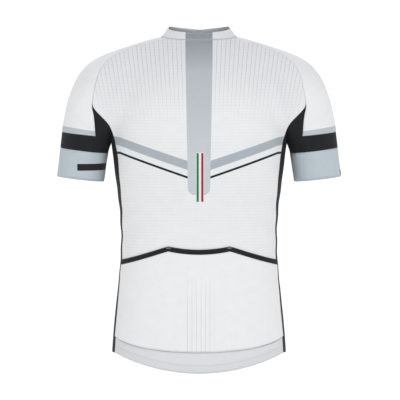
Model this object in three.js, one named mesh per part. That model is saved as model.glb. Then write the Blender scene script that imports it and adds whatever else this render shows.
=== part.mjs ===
// A short-sleeved cycling jersey, filled out and hollow, as it hangs on a body that is left out.
// Millimetres. +Z is up, the wearer's front faces -Y and the wearer's left side is +X.
// The origin is the middle of the neck, level with the collar seam, where the shoulders carry it.
//
// The garment's outside is one smooth form: a torso with oval sections, joined to two sleeve tubes.
// Every cloth piece is a grid of points on that form between its own seams, given a wall inwards.
import * as THREE from "three";

// Driving sizes of the cloth and its seams
const clothWall = 1.6;
const seamGap = 0.3;
const pocketLift = 0.5;
const bindingHeight = 10.4;
const zipHalfWidth = 9;
const zipTapeInner = 2.5;
const zipTapeWall = 1.2;
const zipGuardWall = 1.2;
const zipChainHalf = 2.5;
const zipChainProud = 0.5;
const zipChainWall = 2.2;
const sliderHeight = -1;
const slider = { half: 4, length: 11, taper: 0.025, plate: 1.2, clear: 0.35, postHalf: 1.8 };
const bail = { half: 0.8, length: 6.4, leg: 1.2, inner: 2.4, crown: 1 };
const pull = { half: 3.2, neckHalf: 2.5, length: 17, thick: 1.2, windowHalf: 1.3, window: 3.6 };
const pullBar = 0.6;
const pullLean = 4;
const ovalPower = 2.3;

// Torso sections: height, half width, and how far the back and the front stand from the neck's axis
const torsoSections = [
  { z: -720, half: 182, back: 114, front: -108 },
  { z: -625, half: 176.5, back: 110, front: -107 },
  { z: -570, half: 172, back: 105, front: -106 },
  { z: -510, half: 165.5, back: 97, front: -103 },
  { z: -450, half: 160, back: 90, front: -101 },
  { z: -400, half: 159, back: 90, front: -102 },
  { z: -340, half: 163, back: 98, front: -108 },
  { z: -290, half: 170, back: 108, front: -116 },
  { z: -240, half: 176, back: 116, front: -122 },
  { z: -218, half: 178, back: 118, front: -123 },
  { z: -190, half: 178, back: 119, front: -122 },
  { z: -150, half: 172, back: 117, front: -116 },
  { z: -110, half: 162, back: 110, front: -104 },
  { z: -75, half: 148, back: 98, front: -89 },
  { z: -45, half: 128, back: 84, front: -73 },
  { z: -25, half: 108, back: 73, front: -64 },
  { z: -10, half: 89, back: 64, front: -59 },
  { z: 0, half: 78, back: 58, front: -56 },
  { z: 10, half: 69, back: 52, front: -54 },
  { z: 20, half: 63, back: 47, front: -52 },
  { z: 40, half: 52, back: 40, front: -48 },
];

// Sleeve sections along the arm: the tube's middle, its radius seen from behind, and its half depth
const sleeveSections = [
  { x: 96, y: 8, z: -42, radius: 38, depth: 42 },
  { x: 125, y: 7, z: -54, radius: 40, depth: 50 },
  { x: 154, y: 5, z: -67, radius: 44, depth: 58 },
  { x: 178, y: 3, z: -82, radius: 49, depth: 64 },
  { x: 192, y: 1, z: -97, radius: 56, depth: 67 },
  { x: 203, y: 0, z: -117, radius: 58, depth: 66 },
  { x: 214, y: -1, z: -148, radius: 57.5, depth: 63 },
  { x: 225.5, y: -3, z: -188, radius: 54, depth: 60 },
  { x: 233, y: -5, z: -222, radius: 50, depth: 57 },
  { x: 237.5, y: -8, z: -255, radius: 49, depth: 55 },
  { x: 242, y: -11, z: -290, radius: 49, depth: 54 },
  { x: 250, y: -16, z: -350, radius: 49, depth: 54 },
];

// Back edge of the back panel, seen from behind, from the hem seam to the collar
const sideSeamPoints = [
  { x: 170, z: -609 },
  { x: 163, z: -534 },
  { x: 157, z: -453 },
  { x: 156, z: -402 },
  { x: 158, z: -330 },
  { x: 162.5, z: -285 },
  { x: 166, z: -240 },
  { x: 171, z: -207 },
  { x: 181, z: -178 },
];
const gussetSeamPoints = [
  { x: 181, z: -178 },
  { x: 199, z: -159.5 },
  { x: 219, z: -138.5 },
];
const raglanSeamPoints = [
  { x: 219, z: -138.5 },
  { x: 214.5, z: -110 },
  { x: 206, z: -72 },
  { x: 193, z: -51 },
  { x: 173, z: -34.5 },
  { x: 150, z: -23 },
  { x: 119, z: -11 },
];

// How far the raglan seams lie behind and before the neck's axis on top of the shoulder
const raglanPlan = [
  { x: 66, back: 31, front: -14 },
  { x: 92, back: 28, front: -15 },
  { x: 114, back: 27, front: -16 },
  { x: 136, back: 27.5, front: -18 },
  { x: 160, back: 31, front: -24 },
];
const shoulderEnd = { x: 160, z: -98 };

// Neck seam and collar top, by the angle from the middle of the back
const neckLine = [
  { angle: 0, seam: -3, top: 10 },
  { angle: 45, seam: -2, top: 13.2 },
  { angle: 80, seam: 1, top: 18 },
  { angle: 108, seam: -3.5, top: 21.5 },
  { angle: 145, seam: -20, top: 17 },
  { angle: 180, seam: -30, top: 13.8 },
];
const raglanBackAngle = 66;
const raglanFrontAngle = 100;

// Pocket mouth, seen from behind, by the distance from the middle of the back
const pocketMouth = [
  { x: 0, z: -429.2 },
  { x: 30, z: -427.6 },
  { x: 56, z: -423.8 },
  { x: 62, z: -422.5 },
  { x: 70, z: -424.6 },
  { x: 110, z: -438 },
  { x: 160, z: -454 },
];

// Heights of the hem seam and of the hem's lower edge at the side and in the middle
const hemLine = {
  seamSide: -609, seamBack: -637, seamFront: -596,
  edgeSide: -642, edgeBack: -680.5, edgeFront: -630,
};

// Sleeve levels below the armhole, by the height at the outer and at the inner side
const sleeveLevels = {
  bandTop: { outer: -193, inner: -203 },
  bandEnd: { outer: -225, inner: -236.5 },
  cuffEnd: { outer: -284, inner: -295 },
};
// Where the gusset's outer edge bends, seen from behind, and its turn round the sleeve below
const gussetBend = { x: 214.5, z: -156 };
const gussetTurn = 109;

// The line over the arm, seen from behind, from the collar past the armhole's tip to the dark band
const overArmPoints = [
  { x: 75, z: 2 },
  { x: 103, z: -4 },
  { x: 134, z: -14 },
  { x: 166, z: -24.5 },
  { x: 197, z: -35 },
  { x: 221, z: -46 },
  { x: 246, z: -65 },
  { x: 262, z: -90 },
  { x: 274, z: -132 },
];
const overSleevePoints = [
  { x: 274, z: -132 },
  { x: 282, z: -190 },
];

// How many grid steps each stretch has
const steps = {
  side: 13, gusset: 3, raglan: 10, under: 8, over: 14,
  back: 22, front: 9, hem: 2, pocket: 7, sleeve: 6, band: 2, cuff: 2, collar: 2, zip: 30, guard: 2,
};

// A smooth curve through the named column of a table whose key column rises or falls steadily
function curveOf(rows, key, name) {
  const sorted = [...rows].sort((a, b) => a[key] - b[key]);
  const at = sorted.map((row) => row[key]);
  const value = sorted.map((row) => row[name]);
  const last = at.length - 1;
  const slope = at.map((_, i) => {
    const low = Math.max(i - 1, 0);
    const high = Math.min(i + 1, last);
    return (value[high] - value[low]) / (at[high] - at[low]);
  });
  return (k) => {
    const clamped = Math.min(Math.max(k, at[0]), at[last]);
    let i = 0;
    while (i < last - 1 && clamped > at[i + 1]) i += 1;
    const span = at[i + 1] - at[i];
    const t = (clamped - at[i]) / span;
    const t2 = t * t;
    const t3 = t2 * t;
    return (
      value[i] * (2 * t3 - 3 * t2 + 1) +
      slope[i] * span * (t3 - 2 * t2 + t) +
      value[i + 1] * (3 * t2 - 2 * t3) +
      slope[i + 1] * span * (t3 - t2)
    );
  };
}

const torso = {
  half: curveOf(torsoSections, "z", "half"),
  back: curveOf(torsoSections, "z", "back"),
  front: curveOf(torsoSections, "z", "front"),
};
const neck = {
  seam: curveOf(neckLine, "angle", "seam"),
  top: curveOf(neckLine, "angle", "top"),
};
const mouthHeight = curveOf(pocketMouth, "x", "z");
const mix = (a, b, t) => a + (b - a) * t;
const smooth = (t) => t * t * (3 - 2 * t);
const clamp01 = (t) => Math.min(Math.max(t, 0), 1);

// How far a point lies outside the torso, about in millimetres
function torsoReach(p) {
  const half = torso.half(p.z);
  const middle = (torso.back(p.z) + torso.front(p.z)) / 2;
  const depth = (torso.back(p.z) - torso.front(p.z)) / 2;
  const across = Math.abs(p.x) / half;
  const along = Math.abs(p.y - middle) / depth;
  const size = (across ** ovalPower + along ** ovalPower) ** (1 / ovalPower);
  return (size - 1) * Math.min(half, depth);
}

// How far a point lies outside the nearer sleeve
function sleeveReach(p) {
  let nearest = Infinity;
  for (let i = 0; i + 1 < sleeveSections.length; i += 1) {
    const a = sleeveSections[i];
    const b = sleeveSections[i + 1];
    const dx = b.x - a.x;
    const dz = b.z - a.z;
    const ahead = (Math.abs(p.x) - a.x) * dx + (p.z - a.z) * dz;
    const t = clamp01(ahead / (dx * dx + dz * dz));
    const radius = mix(a.radius, b.radius, t);
    const flatten = radius / mix(a.depth, b.depth, t);
    const offX = Math.abs(p.x) - mix(a.x, b.x, t);
    const offY = (p.y - mix(a.y, b.y, t)) * flatten;
    const offZ = p.z - mix(a.z, b.z, t);
    nearest = Math.min(nearest, Math.hypot(offX, offY, offZ) - radius);
  }
  return nearest;
}

// The two joined softly at the shoulder and tightly in the armpit
const shoulderBlend = 26;
const neckBlend = 10;
const armpitBlend = 4;
const armpitDepth = { deep: 20, shallow: 55 };
const armpitHeight = { start: -120, full: -210 };
const neckHeight = { start: -45, full: -5 };
const between = (from, to, value) => smooth(clamp01((value - from) / (to - from)));
function blendAt(y, z) {
  const insideArmpit = 1 - between(armpitDepth.deep, armpitDepth.shallow, Math.abs(y));
  const towardsArmpit = between(armpitHeight.start, armpitHeight.full, z) * insideArmpit;
  const towardsNeck = between(neckHeight.start, neckHeight.full, z);
  return mix(mix(shoulderBlend, armpitBlend, towardsArmpit), neckBlend, towardsNeck);
}
function formReach(p) {
  const a = torsoReach(p);
  const b = sleeveReach(p);
  const k = blendAt(p.y, p.z);
  const share = Math.max(k - Math.abs(a - b), 0) / k;
  return Math.min(a, b) - (share * share * k) / 4;
}

// The way out of the form, as long as the reach changes for each millimetre
const slopeStep = 0.05;
function formNormal(p) {
  const h = slopeStep;
  const normal = new THREE.Vector3();
  for (const axis of ["x", "y", "z"]) {
    const ahead = p.clone();
    const behind = p.clone();
    ahead[axis] += h;
    behind[axis] -= h;
    normal[axis] = (formReach(ahead) - formReach(behind)) / (2 * h);
  }
  return normal;
}

// Moves a point that is near the form onto it
const settling = { rounds: 12, part: 0.9, flattest: 0.05 };
function ontoForm(guess) {
  const p = guess.clone();
  for (let i = 0; i < settling.rounds; i += 1) {
    const slope = formNormal(p);
    const steepness = Math.max(slope.lengthSq(), settling.flattest);
    p.addScaledVector(slope, (-settling.part * formReach(p)) / steepness);
  }
  return p;
}

// The first point of the form that a straight line meets on its way in
const castStep = 1.5;
const halvings = 30;
function castOntoForm(from, towards, reach) {
  const step = castStep;
  const p = from.clone();
  for (let gone = 0; gone < reach; gone += step) {
    if (formReach(p) < 0) break;
    p.addScaledVector(towards, step);
  }
  let low = -step;
  let high = 0;
  const inside = p.clone();
  for (let i = 0; i < halvings; i += 1) {
    const half = (low + high) / 2;
    p.copy(inside).addScaledVector(towards, half);
    if (formReach(p) < 0) high = half;
    else low = half;
  }
  return p.copy(inside).addScaledVector(towards, low);
}
const farAway = 200;
const fromBack = (x, z) =>
  castOntoForm(new THREE.Vector3(x, farAway, z), new THREE.Vector3(0, -1, 0), 2 * farAway);
const fromFront = (x, z) =>
  castOntoForm(new THREE.Vector3(x, -farAway, z), new THREE.Vector3(0, 1, 0), 2 * farAway);
const fromAbove = (x, y) =>
  castOntoForm(new THREE.Vector3(x, y, farAway), new THREE.Vector3(0, 0, -1), 2 * farAway);

// A point round the neck, by its angle from the middle of the back towards the wearer's left
const besideNeck = 95;
function aroundNeck(angle, height) {
  const turn = THREE.MathUtils.degToRad(angle);
  const out = new THREE.Vector3(Math.sin(turn), Math.cos(turn), 0);
  const start = new THREE.Vector3(0, 0, height).addScaledVector(out, besideNeck);
  return castOntoForm(start, out.clone().negate(), besideNeck);
}
const neckSeamAt = (angle) => aroundNeck(angle, neck.seam(Math.abs(angle)));

// The place on the neck seam at a given distance from the middle, between two angles
function neckSeamAtX(x, fromAngle, toAngle) {
  let [low, high] = [fromAngle, toAngle];
  for (let i = 0; i < halvings; i += 1) {
    const angle = (low + high) / 2;
    if (neckSeamAt(angle).x < Math.abs(x)) low = angle;
    else high = angle;
  }
  const found = neckSeamAt(high);
  return new THREE.Vector3(x, found.y, found.z);
}

// Points at even distances along a table of points seen from behind
function spaced(rows, count) {
  const line = new THREE.CatmullRomCurve3(
    rows.map((row) => new THREE.Vector3(row.x, 0, row.z)), false, "centripetal",
  );
  return line.getSpacedPoints(count);
}

const sideLine = spaced(sideSeamPoints, steps.side);
const gussetLine = spaced(gussetSeamPoints, steps.gusset);
const raglanBackEnd = neckSeamAt(raglanBackAngle);
const raglanFrontEnd = neckSeamAt(raglanFrontAngle);
const raglanBackLine = spaced(
  [...raglanSeamPoints, { x: raglanBackEnd.x, z: raglanBackEnd.z }], steps.raglan,
);
const raglanFrontLine = spaced(
  [...raglanSeamPoints, { x: raglanFrontEnd.x, z: raglanFrontEnd.z }], steps.raglan,
);

// The left edges of the back and of the front, from the hem seam to the collar
const armpitLevel = -196;
const onShoulder = (p) => p.x < shoulderEnd.x && p.z > shoulderEnd.z;
const planBack = curveOf(raglanPlan, "x", "back");
const planFront = curveOf(raglanPlan, "x", "front");
const backEdge = [...sideLine, ...gussetLine.slice(1), ...raglanBackLine.slice(1)]
  .map((p) => (onShoulder(p) ? fromAbove(p.x, planBack(p.x)) : fromBack(p.x, p.z)));
const frontEdge = [...sideLine, ...gussetLine.slice(1), ...raglanFrontLine.slice(1)]
  .map((p) => (onShoulder(p) ? fromAbove(p.x, planFront(p.x)) : fromFront(p.x, p.z)));
backEdge[backEdge.length - 1] = raglanBackEnd;
frontEdge[frontEdge.length - 1] = raglanFrontEnd;
const lastRow = backEdge.length - 1;
const armpitRow = steps.side;
const gussetTipRow = steps.side + steps.gusset;

// The middle lines' heights, row by row, from the hem seam to the collar
function middleHeights(hemSeam, armpit, tip, collar) {
  return backEdge.map((_, i) => {
    if (i <= armpitRow) return mix(hemSeam, armpit, i / armpitRow);
    if (i <= gussetTipRow) return mix(armpit, tip, (i - armpitRow) / steps.gusset);
    return mix(tip, collar, (i - gussetTipRow) / steps.raglan);
  });
}
const tipLevel = { back: -152, front: -158 };
const backMiddle = middleHeights(hemLine.seamBack, armpitLevel, tipLevel.back, neck.seam(0));
const frontMiddle = middleHeights(hemLine.seamFront, armpitLevel, tipLevel.front, neck.seam(180));

// One row across a panel, from near the middle to its edge, with the steps closer at the side
const sideTurn = 1.25;
const towardsSide = (u) => Math.sin(u * sideTurn) / Math.sin(sideTurn);
function acrossPanel(u, inner, middleZ, edge, cast) {
  const sign = Math.sign(u) || 1;
  const part = Math.abs(u);
  const x = sign * mix(inner, edge.x, towardsSide(part));
  return cast(x, mix(middleZ, edge.z, part * part));
}

// Pulls the top rows of a panel onto the neck seam
const neckPullRows = 5;
function pullToNeck(rows, topRow, cast) {
  const last = rows.length - 1;
  const rise = topRow.map((p, j) => p.z - rows[last][j].z);
  return rows.map((row, i) => {
    const pull = between(last - neckPullRows, last, i);
    if (i === last) return topRow;
    return row.map((p, j) => (pull === 0 || p.isEdge ? p : cast(p.x, p.z + rise[j] * pull)));
  });
}

// Evens out a grid on the form, keeping its edges
const relaxRounds = 12;
function relax(rows) {
  let grid = rows;
  for (let round = 0; round < relaxRounds; round += 1) {
    const old = grid;
    grid = old.map((row, i) => row.map((p, j) => {
      const isRim = i === 0 || i === old.length - 1;
      if (isRim || j === 0 || j === row.length - 1) return p;
      const middle = old[i - 1][j].clone().add(old[i + 1][j]).add(row[j - 1]).add(row[j + 1]);
      return ontoForm(middle.multiplyScalar(0.25));
    }));
  }
  return grid;
}

function backGrid() {
  const rows = backEdge.map((edge, i) => {
    const row = [];
    for (let j = 0; j <= steps.back; j += 1) {
      const u = (2 * j) / steps.back - 1;
      const p = acrossPanel(u, 0, backMiddle[i], edge, fromBack);
      p.isEdge = Math.abs(u) === 1;
      if (p.isEdge) p.set(Math.sign(u) * edge.x, edge.y, edge.z);
      row.push(p);
    }
    return row;
  });
  const top = rows[lastRow].map((p) => (p.isEdge ? p : neckSeamAtX(p.x, 0, raglanBackAngle)));
  return relax(pullToNeck(rows, top, fromBack));
}

// The left front, from the zip to the side
function frontGrid() {
  const rows = frontEdge.map((edge, i) => {
    const row = [];
    for (let j = 0; j <= steps.front; j += 1) {
      const u = j / steps.front;
      const p = acrossPanel(u, zipHalfWidth, frontMiddle[i], edge, fromFront);
      p.isEdge = u === 1;
      if (p.isEdge) p.copy(edge);
      row.push(p);
    }
    return row;
  });
  const top = rows[lastRow].map((p) =>
    (p.isEdge ? p : neckSeamAtX(p.x, 180, raglanFrontAngle)));
  return relax(pullToNeck(rows, top, fromFront));
}

// The crease between the torso and the sleeve, found from below at a given depth
const creaseSearch = { innerX: 172, outerX: 206, step: 0.5, below: -300, reach: 220 };
function creaseAt(y) {
  let best = null;
  for (let x = creaseSearch.innerX; x < creaseSearch.outerX; x += creaseSearch.step) {
    const start = new THREE.Vector3(x, y, creaseSearch.below);
    if (formReach(start) < 0) continue;
    const hit = castOntoForm(start, new THREE.Vector3(0, 0, 1), creaseSearch.reach);
    if (!best || hit.z > best.z) best = hit;
  }
  return best;
}
const armpitBack = backEdge[armpitRow];
const armpitFront = frontEdge[armpitRow];
const creaseReach = 0.98;
const creasePull = 3;
function creaseLine() {
  const middle = (armpitBack.y + armpitFront.y) / 2;
  const reach = ((armpitBack.y - armpitFront.y) / 2) * creaseReach;
  const line = [];
  for (let j = 0; j <= steps.under; j += 1) {
    const turn = (Math.PI * j) / steps.under;
    const y = middle + reach * Math.cos(turn);
    const end = turn < Math.PI / 2 ? armpitBack : armpitFront;
    const pull = Math.abs(Math.cos(turn)) ** creasePull;
    const p = creaseAt(y).lerp(end, pull);
    line.push(j === 0 || j === steps.under ? end.clone() : ontoForm(p));
  }
  return line;
}
const crease = creaseLine();

// A hem piece, from its lower edge up to its seam
const hemFlare = 1.012;
function hemGrid(seamRow, edgeMiddle, cast) {
  const rows = [];
  const outerX = Math.abs(seamRow[seamRow.length - 1].x);
  for (let i = 0; i <= steps.hem; i += 1) {
    const t = i / steps.hem;
    rows.push(seamRow.map((p) => {
      if (i === 0) return p;
      const edgeZ = mix(edgeMiddle, hemLine.edgeSide, (p.x / outerX) ** 2);
      return cast(p.x * mix(1, hemFlare, t), mix(p.z, edgeZ, t));
    }));
  }
  return rows.reverse();
}

const back = backGrid();
const front = frontGrid();
const hemBack = hemGrid(back[0], hemLine.edgeBack, fromBack);
const hemFront = hemGrid(front[0], hemLine.edgeFront, fromFront);

// The black side panel, from the hem's edge up to the crease under the arm
const creaseRows = 5;
const besideTorso = 4;
const armpitSearch = 60;
function sidePanelRows() {
  const backSide = [...hemBack.slice(0, -1), ...back.slice(0, armpitRow + 1)]
    .map((row) => row[row.length - 1]);
  const frontSide = [...hemFront.slice(0, -1), ...front.slice(0, armpitRow + 1)]
    .map((row) => row[row.length - 1]);
  const last = backSide.length - 1;
  return backSide.map((b, i) => {
    if (i === last) return crease;
    const f = frontSide[i];
    const rise = between(last - creaseRows, last, i);
    return crease.map((c, j) => {
      const t = j / steps.under;
      if (j === 0) return b;
      if (j === steps.under) return f;
      const even = b.clone().lerp(f, t);
      even.x = torso.half(even.z) + besideTorso;
      const straightTop = mix(armpitBack.z, armpitFront.z, t);
      even.z += (c.z - straightTop) * rise;
      return castOntoForm(even, new THREE.Vector3(-1, 0, 0), armpitSearch);
    });
  });
}

// The same rows on the wearer's right side
const mirrored = (rows) => rows.map((row) => row.map((p) => new THREE.Vector3(-p.x, p.y, p.z)));

// The turns round the sleeve: over the arm from its back edge to its front edge, and under it
const evenly = (from, to, count) =>
  Array.from({ length: count + 1 }, (_, i) => mix(from, to, i / count));
const turnsOver = evenly(gussetTurn, -gussetTurn, steps.over);
const gussetSteps = 2 * steps.gusset + steps.under;
const turnsUnder = evenly(gussetTurn, 360 - gussetTurn, gussetSteps);

// Points round the sleeve at one level, at the given turns from its outer side
const tubeStart = -110;
const belowShoulder = sleeveSections.filter((row) => row.z < tubeStart);
const sleeveAt = (name) => curveOf(belowShoulder, "z", name);
const sleeveMiddle = sleeveAt("x");
const sleeveRadius = sleeveAt("radius");
const sleeveDepth = sleeveAt("depth");
const sleeveForward = sleeveAt("y");
function levelRow(level, turns) {
  const z = (level.outer + level.inner) / 2;
  return turns.map((degrees) => {
    const turn = THREE.MathUtils.degToRad(degrees);
    const guess = new THREE.Vector3(
      sleeveMiddle(z) + sleeveRadius(z) * Math.cos(turn),
      sleeveForward(z) + sleeveDepth(z) * Math.sin(turn),
      mix(level.inner, level.outer, (1 + Math.cos(turn)) / 2),
    );
    return ontoForm(guess);
  });
}
function levelRows(from, to, count, turns) {
  return evenly(0, 1, count).map((t) => levelRow(
    { outer: mix(from.outer, to.outer, t), inner: mix(from.inner, to.inner, t) }, turns,
  ));
}
const { bandTop, bandEnd, cuffEnd } = sleeveLevels;
const bandOver = levelRows(bandTop, bandEnd, steps.band, turnsOver);
const bandUnder = levelRow(bandEnd, turnsUnder);
const turnsRound = [...turnsOver, ...turnsUnder.slice(1, -1).reverse()];
const cuff = levelRows(bandEnd, cuffEnd, steps.cuff, turnsRound);

// The gusset's outer edge, from the armhole's corner to the dark band
function gussetEdge(tip, end, cast) {
  const line = spaced([tip, gussetBend, end], steps.sleeve);
  return line.map((p, i) => {
    if (i === 0) return tip;
    return i === steps.sleeve ? end : cast(p.x, p.z);
  });
}
const last = steps.over;
const gussetBack = gussetEdge(backEdge[gussetTipRow], bandOver[0][0], fromBack);
const gussetFront = gussetEdge(frontEdge[gussetTipRow], bandOver[0][last], fromFront);

// The sleeve's rows run over the arm from the back seam to the front seam
function sleeveGrid() {
  const backSide = [...backEdge.slice(gussetTipRow).reverse(), ...gussetBack.slice(1)];
  const frontSide = [...frontEdge.slice(gussetTipRow).reverse(), ...gussetFront.slice(1)];
  const overSleeve = spaced(overSleevePoints, steps.sleeve);
  const shoulder = [...spaced(overArmPoints, steps.raglan), ...overSleeve.slice(1)];
  const collarPart = evenly(raglanBackAngle, raglanFrontAngle, steps.over).map(neckSeamAt);
  return backSide.map((b, i) => {
    if (i === 0) return collarPart;
    if (i === backSide.length - 1) return bandOver[0];
    const f = frontSide[i];
    const middle = b.clone().add(f).multiplyScalar(0.5);
    const rise = new THREE.Vector3(shoulder[i].x, middle.y, shoulder[i].z).sub(middle);
    const half = b.clone().sub(f).multiplyScalar(0.5);
    return turnsOver.map((_, j) => {
      if (j === 0) return b;
      if (j === steps.over) return f;
      const turn = (Math.PI * j) / steps.over;
      const p = middle.clone().addScaledVector(rise, Math.sin(turn));
      return ontoForm(p.addScaledVector(half, Math.cos(turn)));
    });
  });
}
const sleeve = sleeveGrid();

// The gusset, from the armhole's lower part down to the cuff
function gussetGrid() {
  const start = [
    ...backEdge.slice(armpitRow, gussetTipRow + 1).reverse(),
    ...crease.slice(1, -1),
    ...frontEdge.slice(armpitRow, gussetTipRow + 1),
  ];
  const backSide = [...gussetBack, ...bandOver.slice(1).map((row) => row[0])];
  const frontSide = [...gussetFront, ...bandOver.slice(1).map((row) => row[last])];
  const rowCount = backSide.length - 1;
  return backSide.map((b, i) => start.map((p, j) => {
    if (i === 0) return p;
    if (i === rowCount) return bandUnder[j];
    if (j === 0) return b;
    if (j === gussetSteps) return frontSide[i];
    return ontoForm(p.clone().lerp(bandUnder[j], i / rowCount));
  }));
}
const gusset = gussetGrid();

// The collar, from the left of the zip round the back to the right of it
const angleOf = (p) => THREE.MathUtils.radToDeg(Math.atan2(p.x, p.y));
function collarGrid() {
  const seam = [
    ...front[lastRow].slice(0, -1),
    ...sleeve[0].slice(1).reverse(),
    ...back[lastRow].slice(steps.back / 2).reverse(),
  ];
  const rightHalf = mirrored([seam.slice(0, -1).reverse()])[0];
  const whole = [...seam, ...rightHalf];
  const rows = [whole];
  for (let i = 1; i <= steps.collar; i += 1) {
    const row = whole.map((p) => {
      const angle = angleOf(p);
      return aroundNeck(angle, mix(p.z, neck.top(Math.abs(angle)), i / steps.collar));
    });
    row[0].x = zipHalfWidth;
    row[row.length - 1].x = -zipHalfWidth;
    rows.push(row);
  }
  return rows;
}

// The pocket cloth lies on the back panel: points of the panel's own columns, moved out
function onColumn(column, z) {
  let i = 0;
  while (i < column.length - 2 && column[i + 1].z < z) i += 1;
  const t = (z - column[i].z) / (column[i + 1].z - column[i].z);
  return column[i].clone().lerp(column[i + 1], t);
}
const hemSeamClearance = 0.6;
const peakX = 62;
const peakZ = mouthHeight(peakX);

// The back panel's columns, with one more through each peak of the pocket mouth
function pocketColumns() {
  const columns = back[0].map((_, j) => back.map((row) => row[j]));
  const atMouth = columns.map((column) => onColumn(column, peakZ).x);
  const found = [];
  columns.forEach((column, j) => {
    found.push(column);
    for (const x of [-peakX, peakX]) {
      const t = (x - atMouth[j]) / (atMouth[j + 1] - atMouth[j]);
      if (t > 0 && t < 1) found.push(column.map((p, i) => p.clone().lerp(columns[j + 1][i], t)));
    }
  });
  return found;
}
function onBack(count, lowZ, highZ) {
  return evenly(0, 1, count).map((t) => pocketColumns()
    .map((column) => onColumn(column, mix(lowZ(column), highZ(column), t))));
}
const mouthZ = (column) => mouthHeight(Math.abs(onColumn(column, peakZ).x));
const bindingZ = (column) => mouthZ(column) - bindingHeight;
const pocketFootZ = (column) => column[0].z + hemSeamClearance;

// 1 when a step along a row, a step up a column and the normal make a right-handed corner, or -1
function handOf(rows, normals) {
  let sum = 0;
  for (let i = 0; i + 1 < rows.length; i += 1) {
    for (let j = 0; j + 1 < rows[i].length; j += 1) {
      const along = rows[i][j + 1].clone().sub(rows[i][j]);
      sum += along.cross(rows[i + 1][j].clone().sub(rows[i][j])).dot(normals[i][j]);
    }
  }
  return Math.sign(sum);
}

// The way square to a seam line at one of its points, to the side that is asked for
function acrossSeam(line, i, normal, side, closed) {
  const last = line.length - 1;
  const before = closed ? line[(i + last) % line.length] : line[Math.max(i - 1, 0)];
  const after = closed ? line[(i + 1) % line.length] : line[Math.min(i + 1, last)];
  return after.clone().sub(before).cross(normal).normalize().multiplyScalar(side);
}

// Half a seam gap away from the seam, or from both seams where two of them meet
const sharpestCorner = 0.25;
function insetAlong(ways) {
  const move = new THREE.Vector3();
  for (const way of ways) move.add(way);
  const corner = ways.length === 2 ? Math.max(1 + ways[0].dot(ways[1]), sharpestCorner) : 1;
  return move.multiplyScalar(seamGap / 2 / corner);
}

// Orders the points of a seam the same way for both of its pieces, so that their rims match
const seamOrder = new THREE.Vector3(0.37, 0.11, 1);
const seamKey = (p) => seamOrder.dot(new THREE.Vector3(Math.abs(p.x), p.y, p.z));

// A closed wall on a grid of outer points: the grid moved inwards, and its edges joined
function wallOf(rows, { closed = false, outward = 0, thickness = clothWall } = {}) {
  const rowCount = rows.length;
  const columnCount = rows[0].length;
  const normals = rows.map((row) => row.map((p) => formNormal(p).normalize()));
  const columns = rows[0].map((_, j) => rows.map((row) => row[j]));
  const hand = handOf(rows, normals);
  const outer = rows.map((row, i) => row.map((p, j) => {
    const normal = normals[i][j];
    const ways = [];
    if (i === 0) ways.push(acrossSeam(row, j, normal, -hand, closed));
    if (i === rowCount - 1) ways.push(acrossSeam(row, j, normal, hand, closed));
    if (!closed && j === 0) ways.push(acrossSeam(columns[j], i, normal, hand));
    if (!closed && j === columnCount - 1) ways.push(acrossSeam(columns[j], i, normal, -hand));
    return p.clone().add(insetAlong(ways)).addScaledVector(normal, outward);
  }));
  const inner = outer.map((row, i) => row.map((p, j) =>
    p.clone().addScaledVector(normals[i][j], -thickness)));
  const points = [...outer.flat(), ...inner.flat()];
  const innerStart = rowCount * columnCount;
  const wrap = closed ? columnCount : columnCount - 1;
  const at = (i, j) => i * columnCount + (j % columnCount);
  const faces = [];
  const quad = (a, b, c, d) => faces.push([a, b, c], [a, c, d]);
  for (let i = 0; i + 1 < rowCount; i += 1) {
    for (let j = 0; j < wrap; j += 1) {
      const [a, b, c, d] = [at(i, j), at(i, j + 1), at(i + 1, j + 1), at(i + 1, j)];
      const isShort = points[a].distanceTo(points[c]) <= points[b].distanceTo(points[d]);
      const [e, f, g, h] = isShort ? [a, b, c, d] : [b, c, d, a];
      quad(e, f, g, h);
      faces.push([e, g, f].map((k) => k + innerStart), [e, h, g].map((k) => k + innerStart));
    }
  }
  const rim = (a, b) => {
    const [c, d] = [innerStart + a, innerStart + b];
    if (seamKey(points[a]) < seamKey(points[b])) quad(b, a, c, d);
    else quad(a, c, d, b);
  };
  for (let j = 0; j < wrap; j += 1) {
    rim(at(0, j), at(0, j + 1));
    rim(at(rowCount - 1, j + 1), at(rowCount - 1, j));
  }
  if (!closed) {
    for (let i = 0; i + 1 < rowCount; i += 1) {
      rim(at(i + 1, 0), at(i, 0));
      rim(at(i, columnCount - 1), at(i + 1, columnCount - 1));
    }
  }
  const order = hand > 0 ? faces : faces.map(([a, b, c]) => [a, c, b]);
  const geometry = new THREE.BufferGeometry().setFromPoints(points);
  geometry.setIndex(order.flat());
  geometry.computeVertexNormals();
  return geometry;
}

// A strip up the middle of the front, at the distances xs from it, with rows closer to the neck
const collarTop = neck.top(180);
const closerToNeck = 1.4;
function frontStrip(xs, topZ, { lowZ = hemLine.edgeFront, count = steps.zip } = {}) {
  const rows = [];
  for (let i = 0; i <= count; i += 1) {
    const t = 1 - (1 - i / count) ** closerToNeck;
    rows.push(xs.map((x) => fromFront(x, mix(lowZ, topZ, t))));
  }
  return rows;
}

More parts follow.
